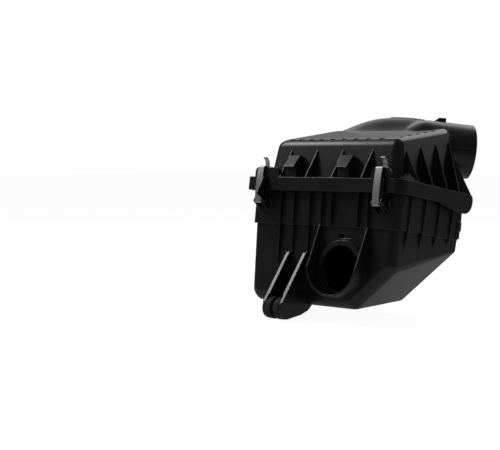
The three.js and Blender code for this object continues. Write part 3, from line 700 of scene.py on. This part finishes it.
def lower_case():
    reach = BRACKET["gap"] / 2
    offset = reach + BRACKET["plate"] / 2
    parts = [upper_band(0), lower_band(0), prism("z", plan(FLANGE), FLANGE_BOTTOM, FLANGE_TOP, 0.5),
             inlet_collar(), crown_ring(), bracket_plate(BRACKET["x"] - offset),
             bracket_plate(BRACKET["x"] + offset)]
    parts += bracket_lip(BRACKET["x"] - offset, 1) + bracket_lip(BRACKET["x"] + offset, -1)
    parts += [front_rib(*rib) for rib in FRONT_RIBS]
    parts += [side_rib(*rib) for rib in SIDE_RIBS]
    parts += [corner_pad(*pad) for pad in CORNER_PADS]
    for x in REAR_MOUNTS.values():
        parts += rear_ear(x)
    for side, x in CLIPS.items():
        parts += clip_seat(side, x)
    parts += hinge_ear(-1) + hinge_ear(1)
    mouth = prism("z", plan(shrink(CASE, WALL)), FLANGE_BOTTOM - 3, FLANGE_TOP + 1, 0)
    eye = (BRACKET["y"], BRACKET["z"])
    tools = [
        upper_band(WALL), lower_band(WALL), mouth,
        block(SLOT["left"], SLOT["right"], -80, CASE["front"] + 5.4, SLOT["bottom"], SLOT["top"], 0),
        block(SLOT["left"], SLOT["deep_to"], -80, CASE["front"] + 8, SLOT["bottom"], SLOT["top"], 0),
        bar("y", BORE["radius"], -100, -60, (BORE["x"], BORE["z"]), 72),
        bar("x", SLEEVE_OUTER + HINGE["gap"], BRACKET["x"] - reach - 10,
            BRACKET["x"] + reach + SLEEVE_SOCKET + 0.2, eye),
        bar("x", BRACKET["spool"] + 1.5, BRACKET["x"] - reach, BRACKET["x"] + reach, eye),
    ]
    for x in REAR_MOUNTS.values():
        tools.append(bar("z", REAR["hole"], REAR["z"] - 20, REAR["z"] + 10, (x, REAR["y"])))
    for x in CLIPS.values():
        tools.append(bar("x", CLIP["pin"] + HINGE["gap"], x - 12, x + 12, (CLIP["y"], CLIP["z"]), 24))
    return cut(join(parts), tools)


# ---- upper cover ------------------------------------------------------------------------------
def roof(y):
    return ROOF_FRONT + ROOF_SLOPE * (y - ROOF_AT)


def cover_body(inset):
    """Leaning walls under a sloping roof, with a wide round where they meet."""
    low, high = shrink(BODY_LOW, inset), shrink(BODY_HIGH, inset)
    radius = BODY_ROUND - inset * 0.8
    base, level = BODY_BASE, roof(BODY_HIGH["back"])
    rings = []

    def ring(z, pull):
        share = (z - base) / (level - base)
        rect = shrink(blend(low, high, share), pull)
        for wall, width in ROUND_WIDTH.items():
            rect[wall] += pull * (width - 1) * (1 if wall in ("left", "front") else -1)
        points = []
        for x, y in plan(rect, 10):
            points.append((x, y, base + share * (roof(y) - inset - base)))
        rings.append(points)

    ring(base, 0)
    for i in range(11):
        angle = math.radians(90 * i / 10)
        ring(level - radius * (1 - math.sin(angle)), radius * (1 - math.cos(angle)))
    return loft(rings)


def hump_top(x, y, inset):
    """Height of the plenum over the back of the roof."""
    ridge = CREST - CREST_FALL[x >= PEAK] * (x - PEAK) ** 2
    foot = roof(HUMP["front"]) - 3
    left = HUMP["left"]
    along = 0.35 + 0.65 * ramp(x, left - 4, left + 14)
    share = ramp(y, HUMP["front"] - 2, HUMP["front"] + 36) * along * (1 - ramp(x, 56, HUMP["right"]))
    rear = 8 * ramp(y, HUMP["back"] - 16, HUMP["back"] + 2)
    return foot + (ridge - foot) * share - inset - rear


def hump(inset, columns=72, rows=28):
    left, right = HUMP["left"] + inset, HUMP["right"] - inset
    front, back = HUMP["front"] + inset, HUMP["back"] - inset
    bm = bmesh.new()
    grid = {}
    for i in range(columns + 1):
        x = left + (right - left) * i / columns
        for j in range(rows + 1):
            y = front + (back - front) * j / rows
            grid[i, j, 1] = bm.verts.new((x, y, hump_top(x, y, inset)))
            grid[i, j, 0] = bm.verts.new((x, y, HUMP["base"]))

    def face(*keys):
        bm.faces.new([grid[key] for key in keys])

    for k in (0, 1):
        for i in range(columns):
            for j in range(rows):
                face((i, j, k), (i + 1, j, k), (i + 1, j + 1, k), (i, j + 1, k))
    for i in range(columns):
        for j in (0, rows):
            face((i, j, 0), (i + 1, j, 0), (i + 1, j, 1), (i, j, 1))
    for j in range(rows):
        for i in (0, columns):
            face((i, j, 0), (i, j + 1, 0), (i, j + 1, 1), (i, j, 1))
    return finish_mesh(bm)


NECK_TURN = Matrix.Translation((NECK["x"], NECK["y"], NECK["z"])) @ Matrix.Rotation(
    -math.radians(NECK["heading"]), 4, "Z")


def neck_bar(radius, start, end):
    """A bar on the neck's axis, between two distances back from its end face."""
    part = bar("y", radius, -end, -start, (0, 0), 72)
    part.data.transform(NECK_TURN)
    return part


def plenum_and_neck():
    """The plenum and neck are blended into one smooth skin, then the neck is cut to length."""
    # The neck starts "spare" past its end face and closes on a hair-thin core.
    radius, rear, spare, core = NECK["radius"], -NECK["length"], 12, 0.02
    profile = [(core, spare), (radius, spare), *arc(0, rear, radius, 0, -90, 20)[:-1],
               (core, rear - radius)]
    neck = lathe(profile, "y", (0, 0, 0), 96)
    neck.data.transform(NECK_TURN)
    skin = join([hump(0), neck])
    remesh = skin.modifiers.new("skin", "REMESH")
    remesh.mode = "VOXEL"
    remesh.voxel_size = SKIN["voxel"]
    smooth = skin.modifiers.new("blend", "SMOOTH")
    smooth.factor = SKIN["factor"]
    smooth.iterations = SKIN["rounds"]
    apply_modifiers(skin)
    beyond = block(-80, 80, 0, 60, -80, 80, 0)
    beyond.data.transform(NECK_TURN)
    return cut(skin, [beyond])


def roof_pockets():
    """Small pockets along the front and right edges of the roof, with floors parallel to it."""
    half, deep, sunk = POCKETS["half"], POCKETS["deep"], POCKETS["sunk"]
    front, right = POCKETS["front"], POCKETS["right"]

    def floor(low, high):
        return [(low, roof(low) - sunk), (high, roof(high) - sunk), (high, 120), (low, 120)]

    pockets = [prism("x", floor(front - 1.5, front + deep), x - half, x + half, 0)
               for x in POCKETS["places"]]
    for i in range(POCKETS["rows"]):
        y = POCKETS["first"] + POCKETS["run"] * i / (POCKETS["rows"] - 1)
        pockets.append(prism("x", floor(y - half, y + half), right - deep, right + 1.5, 0))
    return pockets


def neck_seam():
    """The mould's parting line along both sides of the neck."""
    half = NECK["radius"] + SEAM["proud"]
    part = block(-half, half, -SEAM["length"], 0, -SEAM["half"], SEAM["half"], 0.3)
    part.data.transform(NECK_TURN)
    return part


def crest_ridges():
    """A short row of plain ridges across the top of the plenum."""
    ridges = []
    for x in RIDGES["places"]:
        y, half = RIDGES["y"], RIDGES["length"] / 2
        points = [(v, hump_top(x, v, 0)) for v in (y - half, y, y + half)]
        outline = [(v, z + RIDGES["proud"]) for v, z in points] + [(v, z - 3) for v, z in points[::-1]]
        ridges.append(prism("x", outline, x - 1.1, x + 1.1, 0.4))
    return ridges


def side_lug(side):
    outline = [*SKIRT_EDGE, *arc(66, -5, LUG_RADIUS, -80, 25, 24), (78, SKIRT_TOP),
               (SKIRT_EDGE[0][0], SKIRT_TOP)]
    ends = sorted((side * SKIRT["right"], side * (SKIRT["right"] - SKIRT_WALL)))
    return prism("x", outline, *ends, 0.6)


def clip_catch(side, x):
    start, end = CATCH_REACH[side]
    outline = [(x + start, SKIRT_TOP - 2), (x + end, SKIRT_TOP - 2),
               *arc(x + end - CATCH_ROUND, CATCH_TOP - CATCH_ROUND, CATCH_ROUND, 0, 90),
               *arc(x + start + CATCH_ROUND, CATCH_TOP - CATCH_ROUND, CATCH_ROUND, 90, 180)]
    return prism("y", outline, SKIRT["front"], SKIRT["front"] + CATCH_DEPTH, SOFT)


def post(x):
    """A block set back on the shelf under a sloping, overhanging nose."""
    foot = SKIRT_TOP - 2
    outline = [(-76, foot), (-60, foot), (-60, 35.5), (-69.5, 37.3), (SKIRT["front"], 19.5),
               (-81, 18), (-76, 20)]
    return prism("x", outline, x - POST_HALF, x + POST_HALF, 0.6)


def front_gusset(x):
    outline = [(SKIRT["front"] + 1, SKIRT_TOP - 1), (-60, SKIRT_TOP - 1), (-58, 46), (-61, 46),
               (SKIRT["front"] + 1, SKIRT_TOP + 1)]
    return plate("x", outline, x)


def side_gusset(y):
    top = 46.5 + ROOF_SLOPE * (y - COVER_SIDE_GUSSETS[0])
    outline = [(SKIRT["right"] - 1, SKIRT_TOP - 1), (SKIRT["right"] - 1, SKIRT_TOP + 1),
               (110, top), (105, top), (105, SKIRT_TOP - 1)]
    return plate("y", outline, y)


def corner_gusset():
    """The last gusset runs diagonally to the skirt's rear right corner."""
    start = Vector((95, 54))
    run = Vector((SKIRT["right"] - 2, SKIRT["back"] - 2)) - start
    outline = [(0, SKIRT_TOP - 1), (run.length, SKIRT_TOP - 1), (run.length, SKIRT_TOP + 1),
               (8, 72), (0, 72)]
    part = plate("y", outline, 0)
    angle = math.atan2(run.y, run.x)
    part.data.transform(Matrix.Translation((*start, 0)) @ Matrix.Rotation(angle, 4, "Z"))
    return part


def shelf_block():
    """A small stack of three ledges on the shelf."""
    steps = [(-69, -45, 7.6), (-66.5, -49, 10.4), (-63.5, -55, 13.2)]
    return join([block(122.5 + 0.6 * i, 131 - 0.9 * i, front, back, SKIRT_TOP - 1, top, 0.35)
                 for i, (front, back, top) in enumerate(steps)])


def neck_tab():
    crown = NECK["radius"] - 1
    part = prism("x", [(-56, crown), (-38, crown), (-38, crown + 7), (-48, crown + 6.5)], -2.5, 2.5, 0.5)
    part.data.transform(NECK_TURN)
    return part


def upper_cover():
    hood = shrink(SKIRT, SKIRT_WALL)
    hood["corners"] = (1, 10.3, 1, 1)
    parts = [prism("z", plan(SKIRT, 10), SKIRT_BOTTOM, SKIRT_TOP, 0.9, 3)]
    body = join([cut(cover_body(0), roof_pockets()), plenum_and_neck(), neck_seam(),
                 *crest_ridges()])
    below = block(-FAR, FAR, -FAR, FAR, -60, SKIRT_TOP - WALL, 0)
    parts += [cut(body, [below]), neck_tab(), shelf_block(), corner_gusset()]
    parts += [clip_catch(*clip) for clip in CLIPS.items()]
    parts += [post(x) for x in POSTS]
    parts += [front_gusset(x) for x in COVER_FRONT_GUSSETS]
    parts += [side_gusset(y) for y in COVER_SIDE_GUSSETS]
    tools = [
        prism("z", plan(hood), SKIRT_BOTTOM - 5, SKIRT_TOP - WALL, 0),
        block(hood["left"], hood["right"], FLANGE["back"] + 1, 95, -30, 1, 0),
        cover_body(WALL), hump(WALL), neck_bar(NECK["bore"], -1, NECK["bore_end"]),
    ]
    for x in CLIPS.values():
        half = CHEEK_THICK / 2 + CHEEK_SLOT
        middle = x + CHEEK_OFFSET
        tools.append(block(middle - half, middle + half, -100, FLANGE["front"] - 0.7, -30,
                           SKIRT_TOP + 1, 0))
    shell = join([cut(join(parts), tools), side_lug(-1), side_lug(1)])
    inner = SKIRT["right"] - SKIRT_WALL
    bores = []
    for side in (-1, 1):
        ends = sorted((side * (inner - 1), side * (inner + LUG_BORE)))
        bores.append(bar("x", HINGE["stud"] + HINGE["gap"], *ends, (HINGE["y"], HINGE["z"])))
    return cut(shell, bores)


# ---- filter -----------------------------------------------------------------------------------
FILTER = {"half_x": 121, "half_y": 67.5, "top": -2.3, "depth": 40, "board": 1.5, "gap": 1.1}
PLEATS, PAPER_THICK = 36, 0.6
GLUE_LINES, GLUE_RADIUS = (-48, -16, 16, 48), 0.9
SEAL = {"half_x": 126.4, "half_y": 73.4, "inset": 13, "bottom": -1.7, "top": 2.2}


def frame_ring(half_x, half_y, corner, profile):
    """A ring round a rectangle, with a cross-section of (inset, height) points."""
    outer = {"left": -half_x, "right": half_x, "front": -half_y, "back": half_y,
             "corners": (corner,) * 4}
    rings = [[(x, y, z) for x, y in plan(shrink(outer, inset), 6)] for inset, z in profile]
    return loft(rings, closed=True)


def filter_seal():
    """Moulded rim: a flat band with a raised bead round its middle."""
    low, high, inset = SEAL["bottom"], SEAL["top"], SEAL["inset"]
    rise = high - 1.2
    profile = [(0.3, low), (inset - 0.3, low), (inset, low + 0.4), (inset, rise - 0.4),
               (inset - 0.4, rise), (inset / 2 + 3, rise),
               *[(inset / 2 + 2.4 * math.cos(math.radians(a)), rise + 1.2 * math.sin(math.radians(a)))
                 for a in range(15, 180, 30)],
               (inset / 2 - 3, rise), (0.4, rise), (0, rise - 0.4), (0, low + 0.4)]
    return frame_ring(SEAL["half_x"], SEAL["half_y"], 8, profile)


def filter_frame():
    profile = cut_corners(0, FILTER["board"], FILTER["top"] - FILTER["depth"], FILTER["top"], 0.3)
    return frame_ring(FILTER["half_x"], FILTER["half_y"], 4, profile)


def filter_media():
    """The paper folds up and down along X, with a small round at each fold."""
    half_x = FILTER["half_x"] - FILTER["board"] - FILTER["gap"]
    half_y = FILTER["half_y"] - FILTER["board"] - FILTER["gap"]
    pitch = 2 * half_x / PLEATS
    low, high = FILTER["top"] - FILTER["depth"] + 1, FILTER["top"] - 2.5
    line = []
    for i in range(PLEATS):
        x = -half_x + pitch * i
        line += [(x + pitch * 0.08, low + 0.25), (x + pitch * 0.42, high - 0.25),
                 (x + pitch * 0.5, high), (x + pitch * 0.58, high - 0.25),
                 (x + pitch * 0.92, low + 0.25)]
        if i < PLEATS - 1:
            line.append((x + pitch, low))
    above = [Vector(point) for point in line]
    below = []  # half a thickness below the folds
    for i, point in enumerate(above):
        before, after = above[max(i - 1, 0)], above[min(i + 1, len(above) - 1)]
        along = (after - before).normalized()
        below.append(tuple(point - Vector((-along.y, along.x)) * PAPER_THICK * 0.5))
    return prism("y", line + below[::-1], -half_y, half_y, 0)


def glue_bead(y, index):
    """A run of hot glue that swells and thins along its length."""
    half = FILTER["half_x"] - FILTER["board"] - 4
    z = FILTER["top"] - 1.2
    rings = []
    count = 160
    for i in range(count + 1):
        x = -half + 2 * half * i / count
        swell = 0.8 + 0.14 * math.sin(x * 1.83 + index * 2.1) + 0.06 * math.sin(x * 0.41 + index)
        radius = GLUE_RADIUS * swell * (0.35 if i in (0, count) else 1)
        rings.append([(x, y + u, z + v) for u, v in arc(0, 0, radius, 0, 360, 12)[:-1]])
    return loft(rings)


# ---- clips and pins ---------------------------------------------------------------------------
def ribbon(points, thickness):
    """Outline of a strip of even thickness along a centre line."""
    sides = ([], [])
    for i, point in enumerate(points):
        before, after = points[max(i - 1, 0)], points[min(i + 1, len(points) - 1)]
        along = (Vector(after) - Vector(before)).normalized()
        across = Vector((-along.y, along.x)) * thickness / 2
        sides[0].append(tuple(Vector(point) + across))
        sides[1].append(tuple(Vector(point) - across))
    return sides[0] + sides[1][::-1]


def curve(start, control, end, steps=10):
    points = []
    for i in range(steps + 1):
        t = i / steps
        points.append(tuple((1 - t) ** 2 * a + 2 * t * (1 - t) * b + t * t * c
                            for a, b, c in zip(start, control, end)))
    return points


def spring_clip(x):
    sheet, width, tab = CLIP["sheet"], CLIP["width"], CLIP["tab"]
    curl = CLIP["pin"] + HINGE["gap"] + sheet / 2
    crest = CATCH_TOP - CLIP["z"] + 0.5 + sheet / 2
    front = -1.6
    back = SKIRT["front"] + CATCH_DEPTH - CLIP["y"] + 0.5 + sheet / 2
    bend, hook, roll = 2.2, 5.5, 1.3
    line = [
        *arc(0, 0, curl, 60, -180, 28),
        *curve((-curl, 0), (-curl - 2.6, crest / 2), (front, crest - bend), 24)[1:],
        *arc(front + bend, crest - bend, bend, 180, 90, 8)[1:],
        *arc(back - bend, crest - bend, bend, 90, 0, 8),
        *arc(back + roll, crest - hook, roll, 180, 360, 12),
        (back + 2 * roll, crest + 3),
        *curve((back + 2 * roll, crest + 3), (back + 2, crest + 10), (back - 5, crest + 13.5), 10)[1:],
    ]
    strip = prism("x", ribbon(line, sheet), -width / 2, width / 2, 0)
    foot = crest + 1.4
    trims = [block(-width, -tab / 2, -10, 20, foot, foot + 30, 0),
             block(tab / 2, width, -10, 20, foot, foot + 30, 0)]
    strip = roundover(cut(strip, trims), 0.22)
    strip.data.transform(Matrix.Translation((x, CLIP["y"], CLIP["z"])))
    return strip


def clip_pin(x):
    half = CLIP["width"] / 2 + 2.8
    return bar("x", CLIP["pin"], x - half, x + half, (CLIP["y"], CLIP["z"]), 32, 0.4)


# ---- mounts -----------------------------------------------------------------------------------
def spool(flange, waist, length, groove, axis, centre):
    """A rubber spool with rounded rims and a waist that sits in its bracket."""
    half, neck, bore, soft = length / 2, groove / 2, SLEEVE_OUTER + HINGE["gap"], 1.2
    profile = [(bore, -half + 0.2), (bore + 0.2, -half)]
    profile += arc(flange - soft, -half + soft, soft, -90, 0, 5)
    profile += arc(flange - soft, -neck - soft, soft, 0, 60, 4)
    profile += [(waist, -neck), (waist, neck)]
    profile += arc(flange - soft, neck + soft, soft, -60, 0, 4)
    profile += arc(flange - soft, half - soft, soft, 0, 90, 5)
    profile += [(bore + 0.2, half), (bore, half - 0.2)]
    return lathe(profile, axis, centre)


def sleeve(length, axis, centre):
    half = length / 2
    return lathe(cut_corners(SLEEVE_BORE, SLEEVE_OUTER, -half, half, 0.35), axis, centre)


# ---- assembly ---------------------------------------------------------------------------------
deliver(lower_case(), "lower_case_moulding", "case", "black_plastic", "lower_case")
deliver(upper_cover(), "upper_cover_moulding", "cover", "black_plastic", "upper_cover")
deliver(filter_media(), "filter_pleats", "case", "filter_paper", "filter_media")
deliver(filter_frame(), "filter_board_frame", "case", "filter_board", "filter_frame")
deliver(filter_seal(), "filter_rim_seal", "case", "black_rubber", "filter_seal")
for index, y in enumerate(GLUE_LINES, 1):
    deliver(glue_bead(y, index), f"filter_glue_line_{index}", "case", "hot_glue",
            f"filter_glue_bead_{index}")
for side, x in CLIPS.items():
    deliver(spring_clip(x), f"{side}_clip_strap", f"{side}_clip", "spring_steel", f"clip_{side}")
    deliver(clip_pin(x), f"{side}_clip_pivot_pin", "case", "zinc_steel", f"clip_{side}_pin")
eye = (BRACKET["x"], BRACKET["y"], BRACKET["z"])
deliver(spool(BRACKET["spool"], BRACKET["waist"], BRACKET["gap"] - 2 * RUN, BRACKET["groove"], "x", eye),
        "front_mount_spool", "case", "black_rubber", "front_mount_grommet")
sleeve_ends = (BRACKET["x"] - BRACKET["gap"] / 2 - BRACKET["plate"] - SLEEVE_PROUD,
               BRACKET["x"] + BRACKET["gap"] / 2 + SLEEVE_SOCKET)
deliver(sleeve(sleeve_ends[1] - sleeve_ends[0], "x", (sum(sleeve_ends) / 2, eye[1], eye[2])),
        "front_mount_tube", "case", "zinc_steel", "front_mount_sleeve")
for side, x in REAR_MOUNTS.items():
    centre = (x, REAR["y"], REAR["z"] - REAR["plate"] / 2)
    spool_sizes = (REAR_SPOOL["flange"], REAR["hole"] - RUN, REAR_SPOOL["length"], REAR["plate"] + 1)
    deliver(spool(*spool_sizes, "z", centre), f"rear_{side}_mount_spool", "case", "black_rubber",
            f"rear_{side}_mount_grommet")
    deliver(sleeve(REAR_SPOOL["sleeve"], "z", centre), f"rear_{side}_mount_tube", "case", "zinc_steel",
            f"rear_{side}_mount_sleeve")


# ---- studio -----------------------------------------------------------------------------------
def seen_by_camera(tree):
    return tree.nodes.new("ShaderNodeLightPath").outputs["Is Camera Ray"]


def studio_floor():
    """A pale floor that is bright near the object, so that far reflections stay dark."""
    low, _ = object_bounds()
    bm = bmesh.new()
    bmesh.ops.create_grid(bm, x_segments=4, y_segments=4, size=12)
    mesh = bpy.data.meshes.new("studio_floor")
    bm.to_mesh(mesh)
    bm.free()
    floor = new_object("studio_floor", mesh)
    floor.location.z = low.z - 0.0005
    n = Nodes("studio_floor")
    tone = n.noise(3, 2)
    distance = n.add("ShaderNodeVectorMath", {0: n.place}, operation="LENGTH").outputs["Value"]
    near = n.spread(distance, FLOOR_GLOW, 0.0, 0.35, 1.3)
    glow = n.mix(seen_by_camera(n.tree), near, grey(FLOOR_WHITE))
    mesh.materials.append(n.finish(base_color=n.mix(tone, grey(0.2), grey(0.22)), roughness=0.9,
                                   emission_color=(1, 1, 1, 1), emission_strength=glow,
                                   specular_ior_level=0.0))
    floor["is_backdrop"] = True


def soft_light(name, place, aim, size, power):
    data = bpy.data.lights.new(name, "AREA")
    data.shape = "RECTANGLE"
    data.size, data.size_y = size
    data.energy = power
    light = new_object(name, data)
    light.location = place
    light.rotation_euler = (Vector(aim) - Vector(place)).to_track_quat("-Z", "Y").to_euler()


def white_world():
    """White to the camera. To the object it is dark at the horizon and soft grey overhead."""
    world = bpy.data.worlds.new("studio")
    bpy.context.scene.world = world
    world.use_nodes = True
    tree = world.node_tree
    background = tree.nodes["Background"]
    background.inputs["Color"].default_value = (1, 1, 1, 1)
    place = tree.nodes.new("ShaderNodeTexCoord")
    split = tree.nodes.new("ShaderNodeSeparateXYZ")
    sky = tree.nodes.new("ShaderNodeMapRange")
    sky.interpolation_type = "SMOOTHSTEP"
    sky.inputs["To Min"].default_value = SKY_LOW
    sky.inputs["To Max"].default_value = SKY_HIGH
    level = tree.nodes.new("ShaderNodeMix")
    level.inputs["B"].default_value = 1.0
    tree.links.new(place.outputs["Generated"], split.inputs[0])
    tree.links.new(split.outputs["Z"], sky.inputs["Value"])
    tree.links.new(seen_by_camera(tree), level.inputs["Factor"])
    tree.links.new(sky.outputs["Result"], level.inputs["A"])
    tree.links.new(level.outputs["Result"], background.inputs["Strength"])


def camera():
    data = bpy.data.cameras.new("camera")
    data.sensor_width = CAMERA["sensor"]
    data.lens = CAMERA["lens"]
    eye = new_object("camera", data)
    right = Vector(CAMERA["right"]).normalized()
    forward = Vector(CAMERA["forward"]).normalized()
    up = right.cross(forward)
    matrix = Matrix((right, up, -forward)).transposed().to_4x4()
    matrix.translation = ORIGIN + Vector(CAMERA["place"])
    eye.matrix_world = matrix
    bpy.context.scene.camera = eye


studio_floor()
soft_light("key_left", (-1.19, -0.54, 1.26), (0, 0, 0.15), (0.45, 0.5), 9.5)
soft_light("back_left", (-1.2, 1.4, 1.6), (0, 0, 0.15), (1.4, 1.0), 8)
soft_light("rim_behind", (0.1, 1.3, 1.4), (0, 0, 0.15), (0.9, 0.6), 5)
soft_light("graze_right", (0.9, 1.7, 0.7), (0, 0, 0.12), (1.2, 0.8), 1.5)
white_world()
camera()
bpy.context.scene.view_settings.view_transform = "Standard"
